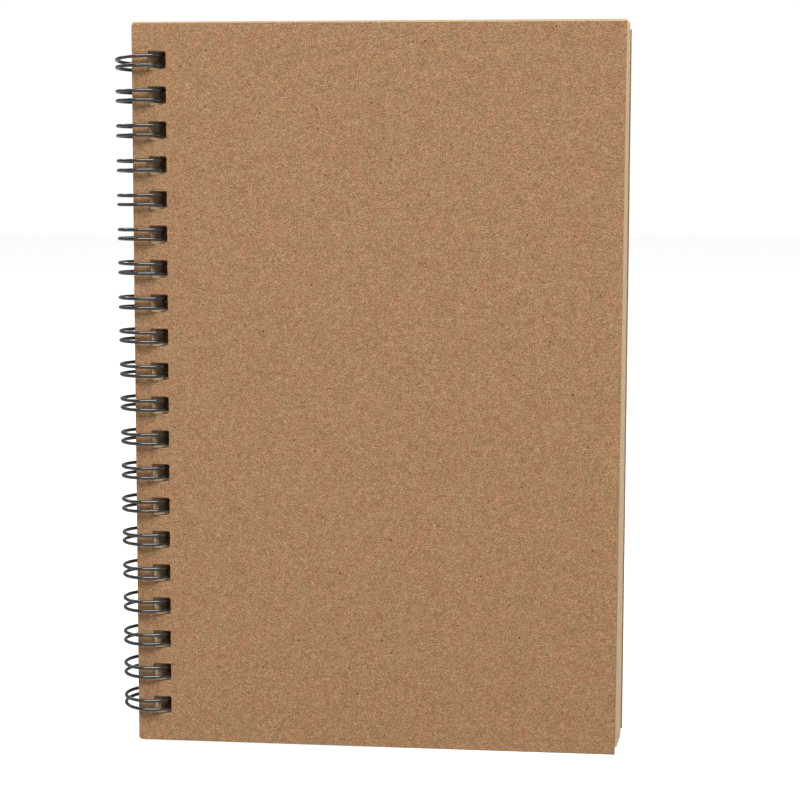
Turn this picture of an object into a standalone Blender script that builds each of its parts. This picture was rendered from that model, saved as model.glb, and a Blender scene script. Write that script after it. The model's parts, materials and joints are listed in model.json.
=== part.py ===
"""A wire-bound sketchbook that stands on its lower edges with its covers a little apart.

Frame: metres, +Z up along the binding, +X from the binding to the fore edge, -Y towards the
front cover. The origin is the centre of the footprint, on the surface that the book stands on.
Every sheet is laid out flat in its own frame: x from the ring axis towards the fore edge, y up,
and an offset from the ring axis through the stack, negative towards the front. It is then stood
up and turned about the ring axis, which is the axis that it hinges on.
"""

import math

import bpy
from mathutils import Matrix, Vector

MM = 0.001

# Covers and leaves are cut to one size and punched alike
SHEET_WIDTH = 120 * MM
SHEET_HEIGHT = 179 * MM
COVER_THICKNESS = 1.2 * MM
COVER_CORNER_RADIUS = 0.8 * MM
CORNER_STEPS = 3
LEAF_COUNT = 24
LEAF_THICKNESS = 0.15 * MM
LEAF_PITCH = 0.2 * MM

# One punched hole for each ring
RING_COUNT = 20
RING_PITCH = 8.4667 * MM
HOLE_MARGIN = 4.0 * MM
HOLE_WIDTH = 4.4 * MM
HOLE_HEIGHT = 4.4 * MM

# How far each sheet has slid on the rings: its bound edge, seen from the ring axis
FRONT_COVER_EDGE = -2.1 * MM
FIRST_LEAF_EDGE = -1.2 * MM
LAST_LEAF_EDGE = -0.3 * MM
BACK_COVER_EDGE = 1.3 * MM

# Order through the stack: the middle of each sheet, seen from the ring axis
FRONT_COVER_OFFSET = -4.5 * MM
FIRST_LEAF_OFFSET = -3.5 * MM
BACK_COVER_OFFSET = 2.1 * MM

# Angle of each sheet about the ring axis as the book stands, positive towards the back
FRONT_COVER_TURN = math.radians(-5.65)
FIRST_LEAF_TURN = math.radians(-4.5)
LAST_LEAF_TURN = math.radians(-1.5)
BACK_COVER_TURN = math.radians(2.5)

# The leaves hang in a few bunches: 0 would spread them evenly, and 1 would close each bunch
BUNCHES = 3
BUNCHING = 0.75

# Height of the lower edges, and the droop of the loose front cover's fore edge
LEAF_LIFT = 1.1 * MM
FRONT_COVER_LIFT = 0.4 * MM
FRONT_COVER_DROOP = math.radians(0.2)

# Twin-loop wire: two wires in each ring, joined at a seam behind the back cover
RING_RADIUS = 6.65 * MM
WIRE_RADIUS = 0.43 * MM
TWIN_SPACING = 2.3 * MM
WIRE_LIFT = 0.55 * MM
SEAM_ANGLE = math.radians(60)
TIP_GAP = math.radians(17)
ARC_STEPS = 12
TIP_STEPS = 4
BEND_RADIUS = 0.7 * MM
CUT_END = 1.5 * MM
WIRE_BEVEL_STEPS = 1

HOLE_FROM_BOTTOM = (SHEET_HEIGHT - (RING_COUNT - 1) * RING_PITCH) / 2

KRAFT = (0.40, 0.22, 0.11)
KRAFT_ROUGHNESS = 0.9
PAPER = (0.80, 0.68, 0.50)
PAPER_ROUGHNESS = 0.85
BLACK_COATING = (0.012, 0.012, 0.014)
COATING_ROUGHNESS = 0.35


def material(name, colour, roughness, metallic=0.0):
    made = bpy.data.materials.new(name)
    made.use_nodes = True
    shader = made.node_tree.nodes["Principled BSDF"]
    shader.inputs["Base Color"].default_value = (*colour, 1)
    shader.inputs["Roughness"].default_value = roughness
    shader.inputs["Metallic"].default_value = metallic
    return made


def add_outline(curve, points):
    spline = curve.splines.new("POLY")
    spline.points.add(len(points) - 1)
    for point, (x, y) in zip(spline.points, points):
        point.co = (x, y, 0, 1)
    spline.use_cyclic_u = True


def corner_arc(x, y, radius, start):
    """A quarter circle of points about (x, y), from the angle start."""
    angles = [start + math.pi / 2 * step / CORNER_STEPS for step in range(CORNER_STEPS + 1)]
    return [(x + radius * math.cos(angle), y + radius * math.sin(angle)) for angle in angles]


def sheet_outline(bound_edge, corner_radius):
    """The cut edge of a sheet: square at the fore edge, and round at the bound edge if asked."""
    fore_edge = bound_edge + SHEET_WIDTH
    points = [(fore_edge, 0), (fore_edge, SHEET_HEIGHT)]
    if not corner_radius:
        return points + [(bound_edge, SHEET_HEIGHT), (bound_edge, 0)]
    x = bound_edge + corner_radius
    points += corner_arc(x, SHEET_HEIGHT - corner_radius, corner_radius, math.pi / 2)
    points += corner_arc(x, corner_radius, corner_radius, math.pi)
    return points


def hole_outline(bound_edge, ring):
    left = bound_edge + HOLE_MARGIN
    low = HOLE_FROM_BOTTOM + ring * RING_PITCH - HOLE_HEIGHT / 2
    right = left + HOLE_WIDTH
    high = low + HOLE_HEIGHT
    return [(left, low), (right, low), (right, high), (left, high)]


def ring_axis():
    """The ring axis's place, which puts the footprint's centre on the origin."""
    sheets = [
        (FRONT_COVER_TURN, FRONT_COVER_EDGE, FRONT_COVER_OFFSET, COVER_THICKNESS),
        (BACK_COVER_TURN, BACK_COVER_EDGE, BACK_COVER_OFFSET, COVER_THICKNESS),
        (LAST_LEAF_TURN, LAST_LEAF_EDGE, leaf_offset(LEAF_COUNT - 1), LEAF_THICKNESS),
    ]
    xs = [-RING_RADIUS - WIRE_RADIUS]
    ys = []
    for turn, bound_edge, offset, thickness in sheets:
        for side in (-1, 1):
            corner = Vector((bound_edge + SHEET_WIDTH, offset + side * thickness / 2, 0))
            corner.rotate(Matrix.Rotation(turn, 3, "Z"))
            xs.append(corner.x)
            ys.append(corner.y)
    return Vector((-(min(xs) + max(xs)) / 2, -(min(ys) + max(ys)) / 2, 0))


def leaf_offset(index):
    return FIRST_LEAF_OFFSET + index * LEAF_PITCH


def leaf_edge(index):
    """Each leaf has slid a little further from the binding than the one in front of it."""
    share = index / (LEAF_COUNT - 1)
    return FIRST_LEAF_EDGE + (LAST_LEAF_EDGE - FIRST_LEAF_EDGE) * share


def leaf_turn(index):
    """The leaves spread between the first and the last, gathered in a few bunches."""
    share = index / (LEAF_COUNT - 1)
    waves = 2 * math.pi * BUNCHES
    share -= BUNCHING * math.sin(waves * share) / waves
    return FIRST_LEAF_TURN + (LAST_LEAF_TURN - FIRST_LEAF_TURN) * share


def add_empty(collection, name, location):
    empty = bpy.data.objects.new(name, None)
    empty.location = location
    collection.objects.link(empty)
    return empty


def add_sheet(collection, axis, name, thickness, bound_edge, offset, corner_radius, surface):
    """A punched sheet, standing on its lower edge and hinged on the ring axis."""
    curve = bpy.data.curves.new(name, "CURVE")
    curve.dimensions = "2D"
    curve.fill_mode = "BOTH"
    curve.extrude = thickness / 2
    add_outline(curve, sheet_outline(bound_edge, corner_radius))
    for ring in range(RING_COUNT):
        add_outline(curve, hole_outline(bound_edge, ring))
    curve.transform(Matrix.Translation((0, 0, -offset)))
    sheet = bpy.data.objects.new(name, curve)
    curve.materials.append(surface)
    collection.objects.link(sheet)
    sheet.parent = axis
    return sheet


def stand(sheet, turn, lift, droop=0.0):
    """Turns a sheet about the ring axis, after tilting it in its own plane about its holes."""
    pivot = Vector((RING_RADIUS, 0, SHEET_HEIGHT / 2))
    tilt = Matrix.Translation(pivot) @ Matrix.Rotation(droop, 4, "Y") @ Matrix.Translation(-pivot)
    upright = Matrix.Rotation(math.radians(90), 4, "X")
    turned = Matrix.Rotation(turn, 4, "Z")
    sheet.matrix_local = Matrix.Translation((0, 0, lift)) @ turned @ tilt @ upright


def ring_point(angle, height):
    """A point on the rings: angles run from the seam, over the front, to the tips."""
    around = SEAM_ANGLE - angle
    return Vector((RING_RADIUS * math.cos(around), RING_RADIUS * math.sin(around), height))


def finger_points(height):
    """One ring: up one wire from the seam, round the tip, and back down the other."""
    half = TWIN_SPACING / 2
    tip = 2 * math.pi - TIP_GAP - half / RING_RADIUS
    bend = BEND_RADIUS / RING_RADIUS
    arc = [bend + (tip - bend) * step / ARC_STEPS for step in range(ARC_STEPS + 1)]
    points = [ring_point(angle, height - half) for angle in arc]
    for step in range(1, TIP_STEPS):
        around = math.pi * step / TIP_STEPS
        reach = tip + half / RING_RADIUS * math.sin(around)
        points.append(ring_point(reach, height - half * math.cos(around)))
    return points + [ring_point(angle, height + half) for angle in reversed(arc)]


def wire_points():
    """The whole wire, with a straight bar along the seam from each ring to the next."""
    half = TWIN_SPACING / 2
    heights = [HOLE_FROM_BOTTOM + ring * RING_PITCH for ring in range(RING_COUNT)]
    points = [ring_point(0, heights[0] - half - CUT_END)]
    for height in heights:
        points.append(ring_point(0, height - half - BEND_RADIUS))
        points += finger_points(height)
        points.append(ring_point(0, height + half + BEND_RADIUS))
    points.append(ring_point(0, heights[-1] + half + CUT_END))
    return points


def add_wire(collection, axis, surface):
    curve = bpy.data.curves.new("binding_wire", "CURVE")
    curve.dimensions = "3D"
    curve.bevel_depth = WIRE_RADIUS
    curve.bevel_resolution = WIRE_BEVEL_STEPS
    curve.use_fill_caps = True
    points = wire_points()
    spline = curve.splines.new("POLY")
    spline.points.add(len(points) - 1)
    for point, place in zip(spline.points, points):
        point.co = (*place, 1)
    curve.materials.append(surface)
    wire = bpy.data.objects.new("binding_wire", curve)
    collection.objects.link(wire)
    wire.parent = axis
    wire.location.z = WIRE_LIFT
    wire.rotation_euler.z = BACK_COVER_TURN


def add_covers(collection, axis, surface):
    front = add_sheet(
        collection, axis, "front_cover", COVER_THICKNESS,
        FRONT_COVER_EDGE, FRONT_COVER_OFFSET, COVER_CORNER_RADIUS, surface,
    )
    stand(front, FRONT_COVER_TURN, FRONT_COVER_LIFT, FRONT_COVER_DROOP)
    back = add_sheet(
        collection, axis, "back_cover", COVER_THICKNESS,
        BACK_COVER_EDGE, BACK_COVER_OFFSET, COVER_CORNER_RADIUS, surface,
    )
    stand(back, BACK_COVER_TURN, 0)


def add_leaves(collection, axis, surface):
    for index in range(LEAF_COUNT):
        leaf = add_sheet(
            collection, axis, f"leaf_{index + 1:02d}", LEAF_THICKNESS,
            leaf_edge(index), leaf_offset(index), 0, surface,
        )
        stand(leaf, leaf_turn(index), LEAF_LIFT)


def main():
    for old in list(bpy.data.objects):
        bpy.data.objects.remove(old)
    sketchbook = bpy.data.collections.new("sketchbook")
    bpy.context.scene.collection.children.link(sketchbook)
    axis = add_empty(sketchbook, "ring_axis", ring_axis())
    add_covers(sketchbook, axis, material("kraft_board", KRAFT, KRAFT_ROUGHNESS))
    add_leaves(sketchbook, axis, material("paper", PAPER, PAPER_ROUGHNESS))
    add_wire(sketchbook, axis, material("coated_wire", BLACK_COATING, COATING_ROUGHNESS))


main()
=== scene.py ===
"""Looks of the wire-bound sketchbook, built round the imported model.

Every sheet is rebuilt in its own frame, which is read back from its CAD mesh: x runs from the
ring axis towards the fore edge, y through the stack towards the back cover, z up. Metres.
"""

import json
import math
import random

import bmesh
import bpy
from mathutils import Matrix, Vector


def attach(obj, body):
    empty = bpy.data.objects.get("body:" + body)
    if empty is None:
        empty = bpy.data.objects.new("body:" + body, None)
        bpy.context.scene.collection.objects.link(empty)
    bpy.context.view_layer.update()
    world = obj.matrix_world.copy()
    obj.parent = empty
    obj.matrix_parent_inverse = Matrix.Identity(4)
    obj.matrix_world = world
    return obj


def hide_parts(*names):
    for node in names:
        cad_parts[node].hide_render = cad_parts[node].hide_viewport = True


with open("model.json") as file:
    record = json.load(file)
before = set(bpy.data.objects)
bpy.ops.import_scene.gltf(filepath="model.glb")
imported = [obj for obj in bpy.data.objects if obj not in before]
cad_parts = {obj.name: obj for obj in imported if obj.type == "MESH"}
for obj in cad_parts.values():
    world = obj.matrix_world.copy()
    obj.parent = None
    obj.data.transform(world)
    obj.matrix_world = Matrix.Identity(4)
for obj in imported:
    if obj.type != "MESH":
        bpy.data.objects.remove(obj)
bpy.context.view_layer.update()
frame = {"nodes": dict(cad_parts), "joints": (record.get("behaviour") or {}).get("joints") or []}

MM = 0.001

# All sheets
OUTER_EDGE = 2 * MM
SAME_HEIGHT = 0.1 * MM
WELD_DISTANCE = 0.001 * MM
HOLE_CORNER_RADIUS = 0.4 * MM
ARC_STEPS = 5
# How squarely a polygon looks through the stack, where 1 is squarely
BROAD_FACE = 0.6
FLAT_FACE = 0.999

# Covers
COVER_CORNER_RADIUS = 0.8 * MM
COVER_RIM = 0.14 * MM
RIM_STEPS = 1
COVER_SHARP_ANGLE = math.radians(50)

# Leaves
LEAF_SEED = 11
LEAF_STEP = 6 * MM
LEAF_SHARP_ANGLE = math.radians(30)
LEAF_WAVE = 0.16 * MM
WAVES_UP = 0.9
WAVES_ACROSS = 0.35
WAVE_START = 0.1
FRONT_LEAF_SLIDE = -0.7 * MM
LEAF_SLIDE = 0.2 * MM
LEAF_DROP = 0.35 * MM
LEAST_DROP_SHARE = 0.3

# Twin-loop wire
WIRE_SEED = 5
RING_RADIUS = 6.65 * MM
WIRE_RADIUS = 0.43 * MM
TWIN_SPACING = 2.3 * MM
SEAM_ANGLE = math.radians(60)
TIP_GAP = math.radians(17)
BEND_RADIUS = 0.7 * MM
CUT_END = 1.5 * MM
WIRE_ARC_STEPS = 44
TIP_STEPS = 8
BEND_STEPS = 4
WIRE_ROUND_STEPS = 4
WIRE_SHARP_ANGLE = math.radians(60)
FRONT_HOLE_ANGLE = math.radians(-45)
RING_SKEW = 0.2 * MM
RING_SPREAD = 0.12
RING_BULGE = 0.01
TOP_RING_SKEW = -1.05 * MM
LOWEST_RING_SKEW = 0.75 * MM
END_RING_SPREAD = -0.35

# The Mix node's sockets for colours
MIX_FACTOR = 0
MIX_FIRST = 6
MIX_SECOND = 7
MIX_RESULT = 2

# All materials: turns in degrees, colours linear
BUMP_STRENGTH = 1.0
SLANT = (31, 17, 43)
FIBRE_ROLL = 37
FIBRE_STRENGTH = 0.5
FIBRE_EDGE = 0.1
SPECK_SOFTNESS = 0.2
SPECK_CUTOFF = 0.60
SPECK_CUTOFF_WIDTH = 0.02

# Board
GRAIN_SIZE = 0.23 * MM
GRAIN_COLOURS = (
    (0.28, (0.159, 0.076, 0.032)),
    (0.5, (0.372, 0.203, 0.100)),
    (0.72, (0.675, 0.420, 0.240)),
)
STROKE_SIZE = (0.75 * MM, 0.24 * MM, 0.2 * MM)
STROKE_TURN = 12
MOTTLE_SIZE = 1.5 * MM
BLOTCH_SIZE = 4 * MM
BOARD_RELIEF = 0.012 * MM
LAYER_SIZE = (4 * MM, 0.13 * MM, 4 * MM)
LAYER_COLOURS = (
    (0.3, (0.30, 0.175, 0.095)),
    (0.55, (0.46, 0.30, 0.175)),
    (0.75, (0.62, 0.45, 0.28)),
)
FUZZ_SIZE = 0.2 * MM
# Each kind of speck: spacing, radius as a share of the spacing, colour
SPECKS = (
    (6.5 * MM, 0.045, (0.86, 0.68, 0.48)),
    (4.3 * MM, 0.06, (0.14, 0.07, 0.032)),
)
PALE_FIBRE = (0.60, 0.40, 0.24)
DARK_FIBRE = (0.21, 0.105, 0.046)
FIBRE_SIZE = (1.9 * MM, 0.17 * MM)
# Each layer of fibres: the way it lies, its share of the noise's range, its colour
FIBRES = (
    (8, 0.38, PALE_FIBRE),
    (67, 0.36, PALE_FIBRE),
    (129, 0.36, PALE_FIBRE),
    (38, 0.36, DARK_FIBRE),
    (97, 0.35, DARK_FIBRE),
    (172, 0.38, DARK_FIBRE),
)

# Paper
TOOTH_SIZE = 0.3 * MM
CLOUD_SIZE = 2.5 * MM
CLOUD_COLOURS = (
    (0.3, (0.765, 0.585, 0.375)),
    (0.7, (0.820, 0.645, 0.435)),
)
CUT_COLOURS = (
    (0.3, (0.69, 0.53, 0.34)),
    (0.7, (0.80, 0.64, 0.44)),
)
# Painted shade between bunches of leaves, mixed with a little of the paper's own tone: long along a leaf
# and thin through the stack, so that it changes from leaf to leaf
LEAF_TONE_AND_SHADE_SIZE = (60 * MM, 0.4 * MM, 60 * MM)
PAPER_FIBRE = (0.66, 0.52, 0.35)
PAPER_FIBRE_SIZE = (2.4 * MM, 0.2 * MM)
PAPER_FIBRES = ((24, 0.36), (97, 0.35))

# Wire coating
PATCH_SIZE = 1.1 * MM
COATING_COLOURS = (
    (0.35, (0.007, 0.007, 0.008)),
    (0.7, (0.014, 0.014, 0.015)),
)
COATING_BUMP_SIZE = 0.2 * MM

# Camera
CAMERA_PLACE = Vector((0.00661, -0.46498, 0.13815))
CAMERA_TURN = (math.radians(83.729), math.radians(-0.05), math.radians(0.05))
CAMERA_LENS = 84.48
SENSOR_WIDTH = 36
CLIP_START = 0.01

# Stage
BACKDROP = 1.05
WORLD_LIGHT = 0.22
FLOOR_GLOW = 0.86
FLOOR_COLOUR = (0.42, 0.42, 0.42)
FLOOR_RADIUS = 6
FLOOR_SIDES = 96
LIT_POINT = Vector((0, 0, 0.09))
# Each light: its name, place, width and height, and power in watts
LIGHTS = (
    ("key", (0.1, -1.35, 1.95), (2.4, 1.2), 70),
    ("rim", (-0.6, 0.8, 1.3), (0.8, 0.8), 10),
)


# ---------------------------------------------------------------- reading the frame

AXIS = Vector(frame["joints"][0]["pos_m"])
AXIS.z = 0


def read_sheet(node):
    """A CAD sheet's own frame, its edges and its holes."""
    mesh = frame["nodes"][node].data
    widest = max(mesh.polygons, key=lambda face: face.area)
    normal = widest.normal if widest.normal.y > 0 else -widest.normal
    turn = Matrix.Translation(AXIS) @ Matrix.Rotation(math.atan2(-normal.x, normal.y), 4, "Z")
    points = [turn.inverted() @ vertex.co for vertex in mesh.vertices]
    low = max(points, key=lambda point: point.x - point.z)
    high = max(points, key=lambda point: point.x + point.z)
    place = turn @ Matrix.Rotation(math.atan2(high.x - low.x, high.z - low.z), 4, "Y")
    points = [place.inverted() @ vertex.co for vertex in mesh.vertices]
    sheet = {"place": place}
    for axis in "xyz":
        values = [getattr(point, axis) for point in points]
        sheet[axis] = (min(values), max(values))
    inner = [point for point in points if is_inside(point, sheet)]
    sheet["hole_x"] = (min(point.x for point in inner), max(point.x for point in inner))
    heights = merged(sorted({round(point.z, 5) for point in inner}))
    sheet["holes"] = list(zip(heights[0::2], heights[1::2]))
    return sheet


def is_inside(point, sheet):
    """Whether a point belongs to a hole and not to the sheet's outer edge."""
    low, high = sheet["x"]
    bottom, top = sheet["z"]
    across = low + OUTER_EDGE < point.x < high - OUTER_EDGE
    return across and bottom + OUTER_EDGE < point.z < top - OUTER_EDGE


def merged(heights):
    """Heights with those that differ only by rounding made one."""
    kept = [heights[0]]
    for height in heights[1:]:
        if height - kept[-1] > SAME_HEIGHT:
            kept.append(height)
    return kept


# ---------------------------------------------------------------- materials

class Nodes:
    """A short way to write the node tree of a Principled material. Sizes are in metres."""

    def __init__(self, name):
        self.material = bpy.data.materials.new(name)
        self.material.use_nodes = True
        self.tree = self.material.node_tree
        self.shader = self.tree.nodes["Principled BSDF"]
        self.place = self.tree.nodes.new("ShaderNodeTexCoord").outputs["Object"]

    def set(self, **values):
        for name, value in values.items():
            self.shader.inputs[name.replace("_", " ")].default_value = value

    def link(self, source, target):
        self.tree.links.new(source, self.shader.inputs[target])

    def feed(self, socket, value):
        """Links a socket, or sets it to a number or a colour."""
        if isinstance(value, bpy.types.NodeSocket):
            self.tree.links.new(value, socket)
        elif isinstance(value, tuple):
            socket.default_value = (*value, 1)
        else:
            socket.default_value = value

    def stretched(self, size, turn):
        """Coordinates in which a box of this size, turned about the sheet's axes, is one unit."""
        node = self.tree.nodes.new("ShaderNodeMapping")
        node.vector_type = "TEXTURE"
        node.inputs["Rotation"].default_value = [math.radians(angle) for angle in turn]
        node.inputs["Scale"].default_value = size
        self.tree.links.new(self.place, node.inputs["Vector"])
        return node.outputs["Vector"]

    def noise(self, size, detail=2.0, roughness=0.5, turn=(0, 0, 0)):
        """Noise with features of one size, or of a size along each of the sheet's axes.

        A flat sheet cuts even noise at a slant, so that the noise's own grid doesn't show.
        """
        node = self.tree.nodes.new("ShaderNodeTexNoise")
        node.inputs["Scale"].default_value = 1.0
        node.inputs["Detail"].default_value = detail
        node.inputs["Roughness"].default_value = roughness
        if isinstance(size, tuple):
            place = self.stretched(size, turn)
        else:
            place = self.stretched((size, size, size), SLANT)
        self.tree.links.new(place, node.inputs["Vector"])
        return node.outputs["Fac"]

    def cells(self, size):
        """How far a point is from the middle of its cell, and the cell's random colour."""
        node = self.tree.nodes.new("ShaderNodeTexVoronoi")
        node.inputs["Scale"].default_value = 1 / size
        self.tree.links.new(self.place, node.inputs["Vector"])
        return node.outputs["Distance"], node.outputs["Color"]

    def ramp(self, factor, *stops):
        """Stops are (position, colour or grey value)."""
        node = self.tree.nodes.new("ShaderNodeValToRGB")
        elements = node.color_ramp.elements
        while len(elements) < len(stops):
            elements.new(0.5)
        for element, (position, value) in zip(elements, stops):
            element.position = position
            colour = value if isinstance(value, tuple) else (value, value, value)
            element.color = (*colour, 1)
        self.tree.links.new(factor, node.inputs["Fac"])
        return node.outputs["Color"]

    def mix(self, factor, first, second, blend="MIX"):
        node = self.tree.nodes.new("ShaderNodeMix")
        node.data_type = "RGBA"
        node.blend_type = blend
        self.feed(node.inputs[MIX_FACTOR], factor)
        self.feed(node.inputs[MIX_FIRST], first)
        self.feed(node.inputs[MIX_SECOND], second)
        return node.outputs[MIX_RESULT]

    def math(self, operation, first, second):
        node = self.tree.nodes.new("ShaderNodeMath")
        node.operation = operation
        self.feed(node.inputs[0], first)
        self.feed(node.inputs[1], second)
        return node.outputs[0]

    def bump(self, height, distance, after=None):
        node = self.tree.nodes.new("ShaderNodeBump")
        node.inputs["Strength"].default_value = BUMP_STRENGTH
        node.inputs["Distance"].default_value = distance
        self.tree.links.new(height, node.inputs["Height"])
        if after is not None:
            self.tree.links.new(after, node.inputs["Normal"])
        return node.outputs["Normal"]

    def add_specks(self, colour, spacing, radius, tint):
        """Scatters round specks, one in each cell whose random colour is bright enough."""
        distance, brightness = self.cells(spacing)
        inner = radius * (1 - SPECK_SOFTNESS)
        outer = radius * (1 + SPECK_SOFTNESS)
        speck = self.ramp(distance, (inner, 1.0), (outer, 0.0))
        kept = self.ramp(brightness, (SPECK_CUTOFF, 0.0), (SPECK_CUTOFF + SPECK_CUTOFF_WIDTH, 1.0))
        return self.mix(self.math("MULTIPLY", speck, kept), colour, tint)

    def add_fibres(self, colour, turn, size, share, tint):
        """Scatters fibres that lie at one angle over a colour."""
        length, width = size
        edge = 1 - share
        lie = self.noise((length, width, width), 1.0, 0.5, (FIBRE_ROLL, turn, 0))
        mask = self.ramp(lie, (edge, 0.0), (edge + FIBRE_EDGE, 1.0))
        return self.mix(self.math("MULTIPLY", mask, FIBRE_STRENGTH), colour, tint)


def kraft_board():
    """The board's face: pressed pulp with fibres and specks in it."""
    nodes = Nodes("kraft_board")
    nodes.set(Specular_IOR_Level=0.15)
    grain = nodes.noise(GRAIN_SIZE, 2.0, 0.65)
    colour = nodes.ramp(grain, *GRAIN_COLOURS)
    strokes = nodes.noise(STROKE_SIZE, 1.0, 0.5, (FIBRE_ROLL, STROKE_TURN, 0))
    colour = nodes.mix(1.0, colour, nodes.ramp(strokes, (0.3, 0.86), (0.7, 1.13)), "MULTIPLY")
    mottle = nodes.noise(MOTTLE_SIZE, 3.0, 0.6)
    tone = nodes.ramp(mottle, (0.3, (0.88, 0.87, 0.85)), (0.7, (1.11, 1.12, 1.14)))
    colour = nodes.mix(1.0, colour, tone, "MULTIPLY")
    blotch = nodes.noise(BLOTCH_SIZE, 3.0, 0.55)
    hue = nodes.ramp(blotch, (0.36, (1.045, 0.975, 0.97)), (0.64, (0.96, 1.02, 0.985)))
    colour = nodes.mix(1.0, colour, hue, "MULTIPLY")
    for turn, share, tint in FIBRES:
        colour = nodes.add_fibres(colour, turn, FIBRE_SIZE, share, tint)
    for spacing, radius, tint in SPECKS:
        colour = nodes.add_specks(colour, spacing, radius, tint)
    nodes.link(colour, "Base Color")
    nodes.link(nodes.ramp(grain, (0.3, 0.96), (0.7, 0.82)), "Roughness")
    nodes.link(nodes.bump(strokes, BOARD_RELIEF, nodes.bump(grain, BOARD_RELIEF)), "Normal")
    return nodes.material


def board_edge():
    """The cut edge of the board, which shows the layers it is pressed from."""
    nodes = Nodes("board_edge")
    nodes.set(Specular_IOR_Level=0.1)
    layers = nodes.noise(LAYER_SIZE, 2.0, 0.55)
    colour = nodes.ramp(layers, *LAYER_COLOURS)
    fuzz = nodes.noise(FUZZ_SIZE, 2.0, 0.6)
    colour = nodes.mix(1.0, colour, nodes.ramp(fuzz, (0.3, 0.84), (0.7, 1.1)), "MULTIPLY")
    nodes.link(colour, "Base Color")
    nodes.link(nodes.ramp(fuzz, (0.3, 0.98), (0.7, 0.88)), "Roughness")
    nodes.link(nodes.bump(fuzz, 0.02 * MM, nodes.bump(layers, 0.03 * MM)), "Normal")
    return nodes.material


def paper():
    """The leaves' faces."""
    nodes = Nodes("paper")
    nodes.set(Specular_IOR_Level=0.15)
    tooth = nodes.noise(TOOTH_SIZE, 3.0, 0.6)
    cloud = nodes.noise(CLOUD_SIZE, 3.0, 0.55)
    colour = nodes.ramp(cloud, *CLOUD_COLOURS)
    flecks = nodes.ramp(tooth, (0.30, 0.93), (0.46, 1.0), (0.7, 1.02))
    colour = nodes.mix(1.0, colour, flecks, "MULTIPLY")
    for turn, share in PAPER_FIBRES:
        colour = nodes.add_fibres(colour, turn, PAPER_FIBRE_SIZE, share, PAPER_FIBRE)
    nodes.link(colour, "Base Color")
    nodes.link(nodes.ramp(tooth, (0.3, 0.95), (0.7, 0.84)), "Roughness")
    nodes.link(nodes.bump(tooth, 0.008 * MM, nodes.bump(cloud, 0.02 * MM)), "Normal")
    return nodes.material


def paper_edge():
    """The cut edges of the leaves, which differ in tone from one to the next: a little of it the paper's
    own tone, most of it painted shade between bunches of leaves.
    """
    nodes = Nodes("paper_edge")
    nodes.set(Specular_IOR_Level=0.1)
    fuzz = nodes.noise(FUZZ_SIZE, 2.0, 0.6)
    colour = nodes.ramp(fuzz, *CUT_COLOURS)
    # Painted shade: a darkening that changes from leaf to leaf through the stack, standing in for the shade
    # in the gaps between bunches of leaves; the small rise above 1 is the paper's own tone
    leaf = nodes.noise(LEAF_TONE_AND_SHADE_SIZE, 2.0, 0.8)
    tone = nodes.ramp(leaf, (0.38, 0.66), (0.5, 0.96), (0.62, 1.06))
    nodes.link(nodes.mix(1.0, colour, tone, "MULTIPLY"), "Base Color")
    nodes.link(nodes.ramp(fuzz, (0.3, 0.98), (0.7, 0.9)), "Roughness")
    nodes.link(nodes.bump(fuzz, 0.01 * MM), "Normal")
    return nodes.material


def coated_wire():
    """Black coating on steel, a little shinier in some patches than in others."""
    nodes = Nodes("coated_wire")
    nodes.set(Specular_IOR_Level=1.0, Coat_Weight=0.6, Coat_Roughness=0.12)
    patches = nodes.noise(PATCH_SIZE, 3.0, 0.6)
    nodes.link(nodes.ramp(patches, *COATING_COLOURS), "Base Color")
    nodes.link(nodes.ramp(patches, (0.3, 0.14), (0.7, 0.2)), "Roughness")
    nodes.link(nodes.bump(nodes.noise(COATING_BUMP_SIZE, 2.0, 0.5), 0.004 * MM), "Normal")
    return nodes.material


# ---------------------------------------------------------------- sheets

def arc(x, y, radius, start):
    """A quarter circle of points about (x, y), from the angle start."""
    angles = [start + math.pi / 2 * step / ARC_STEPS for step in range(ARC_STEPS + 1)]
    return [(x + radius * math.cos(angle), y + radius * math.sin(angle)) for angle in angles]


def rounded_box(low, high, radii):
    """An outline with its own radius at each corner, from lower left round to upper left."""
    corners = ((low[0], low[1]), (high[0], low[1]), (high[0], high[1]), (low[0], high[1]))
    inwards = ((1, 1), (-1, 1), (-1, -1), (1, -1))
    points = []
    for index, ((x, y), (dx, dy), radius) in enumerate(zip(corners, inwards, radii)):
        if radius:
            points += arc(x + dx * radius, y + dy * radius, radius, math.pi * (1 + index / 2))
        else:
            points.append((x, y))
    return points


def add_outline(curve, points):
    spline = curve.splines.new("POLY")
    spline.points.add(len(points) - 1)
    for point, (x, y) in zip(spline.points, points):
        point.co = (x, y, 0, 1)
    spline.use_cyclic_u = True


def mesh_of(curve, name):
    """The curve's mesh, with its caps welded to its sides."""
    obj = bpy.data.objects.new(name, curve)
    bpy.context.scene.collection.objects.link(obj)
    graph = bpy.context.evaluated_depsgraph_get()
    mesh = bpy.data.meshes.new_from_object(obj.evaluated_get(graph))
    bpy.data.objects.remove(obj)
    bm = bmesh.new()
    bm.from_mesh(mesh)
    bmesh.ops.remove_doubles(bm, verts=bm.verts, dist=WELD_DISTANCE)
    bmesh.ops.recalc_face_normals(bm, faces=bm.faces)
    bm.to_mesh(mesh)
    bm.free()
    mesh.name = name
    return mesh


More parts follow.
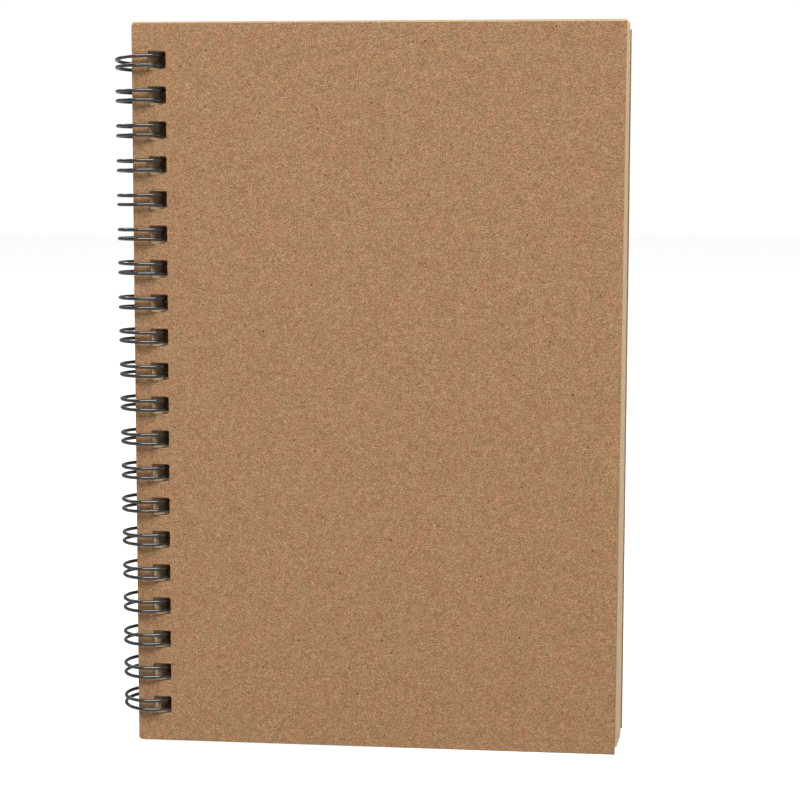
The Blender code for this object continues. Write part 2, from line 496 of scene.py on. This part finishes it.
def sheet_mesh(sheet, name, corner_radius, rim):
    """A punched sheet lying in x and z, as thick as its CAD sheet."""
    low = (sheet["x"][0], sheet["z"][0])
    high = (sheet["x"][1], sheet["z"][1])
    thickness = sheet["y"][1] - sheet["y"][0]
    curve = bpy.data.curves.new(name, "CURVE")
    curve.dimensions = "2D"
    curve.fill_mode = "BOTH"
    curve.extrude = thickness / 2 - rim
    curve.bevel_depth = rim
    curve.bevel_resolution = RIM_STEPS
    curve.offset = -rim
    add_outline(curve, rounded_box(low, high, (corner_radius, 0, 0, corner_radius)))
    hole_low, hole_high = sheet["hole_x"]
    for bottom, top in sheet["holes"]:
        add_outline(curve, rounded_box((hole_low, bottom), (hole_high, top), [HOLE_CORNER_RADIUS] * 4))
    mesh = mesh_of(curve, name)
    middle = sum(sheet["y"]) / 2
    mesh.transform(Matrix.Translation((0, middle, 0)) @ Matrix.Rotation(math.radians(90), 4, "X"))
    return mesh


def add_piece(mesh, name, place, body, node):
    piece = bpy.data.objects.new(name, mesh)
    bpy.context.scene.collection.objects.link(piece)
    piece.matrix_world = place
    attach(piece, body)
    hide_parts(node)
    return piece


def dress(mesh, face, edge, sharp_angle):
    """Shades a sheet, with one material on its broad faces and another on its cut edges."""
    mesh.materials.append(face)
    mesh.materials.append(edge)
    mesh.shade_smooth()
    mesh.set_sharp_from_angle(angle=sharp_angle)
    for polygon in mesh.polygons:
        polygon.material_index = 0 if abs(polygon.normal.y) > BROAD_FACE else 1


def add_cover(node, face, edge):
    sheet = read_sheet(node)
    mesh = sheet_mesh(sheet, node + "_board", COVER_CORNER_RADIUS, COVER_RIM)
    dress(mesh, face, edge, COVER_SHARP_ANGLE)
    for polygon in mesh.polygons:
        polygon.use_smooth = abs(polygon.normal.y) < FLAT_FACE
    return add_piece(mesh, node + "_board", sheet["place"], node, node)


def cut_across(mesh, sheet):
    """Adds lines across a leaf, so that it can bend."""
    bm = bmesh.new()
    bm.from_mesh(mesh)
    cuts = []
    for axis, index in (("x", 0), ("z", 2)):
        low, high = sheet[axis]
        for step in range(1, int((high - low) / LEAF_STEP)):
            normal = Vector((0, 0, 0))
            normal[index] = 1
            cuts.append((normal * (low + step * LEAF_STEP), normal))
    for place, normal in cuts:
        everything = bm.verts[:] + bm.edges[:] + bm.faces[:]
        bmesh.ops.bisect_plane(bm, geom=everything, dist=WELD_DISTANCE, plane_co=place, plane_no=normal)
    bm.to_mesh(mesh)
    bm.free()


def wave(x, z, sheet):
    """How far the paper stands off its plane: the same for every leaf, so they still stack."""
    reach = x / sheet["x"][1]
    along = z / sheet["z"][1]
    waves = WAVES_UP * along + WAVES_ACROSS * reach + WAVE_START
    return LEAF_WAVE * reach ** 2 * math.sin(2 * math.pi * waves)


def add_leaf(node, place_in_stack, face, edge, chance):
    """A loose leaf, a little out of line with its neighbours; place_in_stack is 0 at the front."""
    sheet = read_sheet(node)
    mesh = sheet_mesh(sheet, node + "_paper", 0, 0)
    cut_across(mesh, sheet)
    slid = FRONT_LEAF_SLIDE * (1 - place_in_stack) + chance.uniform(-LEAF_SLIDE, 0)
    dropped = chance.uniform(LEAST_DROP_SHARE, 1) * LEAF_DROP
    for vertex in mesh.vertices:
        vertex.co.y += wave(vertex.co.x, vertex.co.z, sheet)
        vertex.co.x += slid
        vertex.co.z -= dropped
    dress(mesh, face, edge, LEAF_SHARP_ANGLE)
    return add_piece(mesh, node + "_paper", sheet["place"], node, node)


# ---------------------------------------------------------------- wire

def ring_heights(cover):
    """The rings' heights, from the CAD wire and the holes of the back cover."""
    heights = [vertex.co.z for vertex in frame["nodes"]["binding_wire"].data.vertices]
    centres = [sum(hole) / 2 for hole in cover["holes"]]
    lift = (min(heights) + max(heights)) / 2 - sum(centres) / len(centres)
    return [centre + lift for centre in centres]


def skew_share(around):
    """How much of a ring's skew shows: none inside the book, and all of it at the free tip."""
    tip = SEAM_ANGLE - 2 * math.pi + TIP_GAP
    share = max(0.0, (FRONT_HOLE_ANGLE - around) / (FRONT_HOLE_ANGLE - tip))
    return share * share * (3 - 2 * min(share, 1.0))


def ring_points(height, skew, spread, bulge):
    """One ring: its lower wire from the seam to the free tip, and its upper wire back again."""
    def point(angle, offset):
        around = SEAM_ANGLE - angle
        share = skew_share(around)
        reach = RING_RADIUS * (1 + bulge * share)
        lift = height + offset * (1 + spread * share) + skew * share
        return Vector((reach * math.cos(around), reach * math.sin(around), lift))

    half = TWIN_SPACING / 2
    tip = 2 * math.pi - TIP_GAP - half / RING_RADIUS
    bend = BEND_RADIUS / RING_RADIUS
    steps = [bend + (tip - bend) * step / WIRE_ARC_STEPS for step in range(WIRE_ARC_STEPS + 1)]
    points = [point(angle, -half) for angle in steps]
    for step in range(1, TIP_STEPS):
        around = math.pi * step / TIP_STEPS
        points.append(point(tip + half / RING_RADIUS * math.sin(around), -half * math.cos(around)))
    return points + [point(angle, half) for angle in reversed(steps)]


def bend_points(height, sign):
    """The rounded corner between a ring's wire and the straight bar along the seam."""
    half = TWIN_SPACING / 2
    points = []
    for step in range(BEND_STEPS):
        around = math.pi / 2 * step / BEND_STEPS
        reach = BEND_RADIUS * (1 - math.cos(around)) / RING_RADIUS
        rise = sign * (half + BEND_RADIUS * (1 - math.sin(around)))
        angle = SEAM_ANGLE - reach
        points.append(Vector((RING_RADIUS * math.cos(angle), RING_RADIUS * math.sin(angle), height + rise)))
    return points


def wire_points(heights, chance):
    """The whole wire from its lower end to its upper end, ring by ring."""
    half = TWIN_SPACING / 2
    start = Vector((RING_RADIUS * math.cos(SEAM_ANGLE), RING_RADIUS * math.sin(SEAM_ANGLE), 0))
    points = [start + Vector((0, 0, heights[0] - half - CUT_END))]
    for index, height in enumerate(heights):
        skew = chance.uniform(-RING_SKEW, RING_SKEW)
        spread = chance.uniform(-RING_SPREAD, RING_SPREAD)
        bulge = chance.uniform(-RING_BULGE, 0)
        if index == 0:
            skew = LOWEST_RING_SKEW
            spread = END_RING_SPREAD
        if index == len(heights) - 1:
            skew = TOP_RING_SKEW
            spread = END_RING_SPREAD
        points += bend_points(height, -1)
        points += ring_points(height, skew, spread, bulge)
        points += reversed(bend_points(height, 1))
    points.append(start + Vector((0, 0, heights[-1] + half + CUT_END)))
    return points


def add_wire(surface):
    cover = read_sheet("back_cover")
    curve = bpy.data.curves.new("wire_loops", "CURVE")
    curve.dimensions = "3D"
    curve.bevel_depth = WIRE_RADIUS
    curve.bevel_resolution = WIRE_ROUND_STEPS
    curve.use_fill_caps = True
    points = wire_points(ring_heights(cover), random.Random(WIRE_SEED))
    spline = curve.splines.new("POLY")
    spline.points.add(len(points) - 1)
    for point, spot in zip(spline.points, points):
        point.co = (*spot, 1)
    mesh = mesh_of(curve, "wire_loops")
    mesh.materials.append(surface)
    mesh.shade_smooth()
    mesh.set_sharp_from_angle(angle=WIRE_SHARP_ANGLE)
    return add_piece(mesh, "wire_loops", cover["place"], "binding_wire", "binding_wire")


# ---------------------------------------------------------------- stage

def camera_only(tree, hidden, seen):
    """A strength that is one number for light, and another for what is looked at."""
    looked_at = tree.nodes.new("ShaderNodeLightPath").outputs["Is Camera Ray"]
    strength = tree.nodes.new("ShaderNodeMapRange")
    strength.inputs["To Min"].default_value = hidden
    strength.inputs["To Max"].default_value = seen
    tree.links.new(looked_at, strength.inputs["Value"])
    return strength.outputs["Result"]


def floor_material():
    nodes = Nodes("pale_floor")
    nodes.set(Roughness=0.9, Specular_IOR_Level=0.1, Base_Color=(*FLOOR_COLOUR, 1))
    nodes.set(Emission_Color=(1, 1, 1, 1))
    nodes.link(camera_only(nodes.tree, 0, FLOOR_GLOW), "Emission Strength")
    return nodes.material


def add_floor():
    bm = bmesh.new()
    bmesh.ops.create_circle(bm, cap_ends=True, segments=FLOOR_SIDES, radius=FLOOR_RADIUS)
    mesh = bpy.data.meshes.new("floor")
    bm.to_mesh(mesh)
    bm.free()
    mesh.materials.append(floor_material())
    floor = bpy.data.objects.new("floor", mesh)
    bpy.context.scene.collection.objects.link(floor)


def add_world():
    """A white backdrop, which lights the book less than it shows."""
    world = bpy.data.worlds.new("studio")
    world.use_nodes = True
    tree = world.node_tree
    background = tree.nodes["Background"]
    background.inputs["Color"].default_value = (1, 1, 1, 1)
    tree.links.new(camera_only(tree, WORLD_LIGHT, BACKDROP), background.inputs["Strength"])
    bpy.context.scene.world = world


def add_light(name, place, size, power):
    light = bpy.data.lights.new(name, "AREA")
    light.shape = "RECTANGLE"
    light.size, light.size_y = size
    light.energy = power
    lamp = bpy.data.objects.new(name, light)
    lamp.location = place
    lamp.rotation_euler = (LIT_POINT - Vector(place)).to_track_quat("-Z", "Y").to_euler()
    bpy.context.scene.collection.objects.link(lamp)


def add_camera():
    camera = bpy.data.objects.new("camera", bpy.data.cameras.new("camera"))
    camera.data.lens = CAMERA_LENS
    camera.data.sensor_width = SENSOR_WIDTH
    camera.data.clip_start = CLIP_START
    camera.location = CAMERA_PLACE
    camera.rotation_euler = CAMERA_TURN
    bpy.context.scene.collection.objects.link(camera)
    bpy.context.scene.camera = camera


def add_stage():
    add_floor()
    add_world()
    for name, place, size, power in LIGHTS:
        add_light(name, place, size, power)
    add_camera()
    bpy.context.scene.view_settings.view_transform = "Standard"


# ---------------------------------------------------------------- the sketchbook

cover_face = kraft_board()
cover_edge = board_edge()
add_cover("front_cover", cover_face, cover_edge)
add_cover("back_cover", cover_face, cover_edge)
leaf_face = paper()
leaf_edge = paper_edge()
chance = random.Random(LEAF_SEED)
leaves = sorted(name for name in frame["nodes"] if name.startswith("leaf_"))
for index, leaf in enumerate(leaves):
    add_leaf(leaf, index / (len(leaves) - 1), leaf_face, leaf_edge, chance)
add_wire(coated_wire())
add_stage()
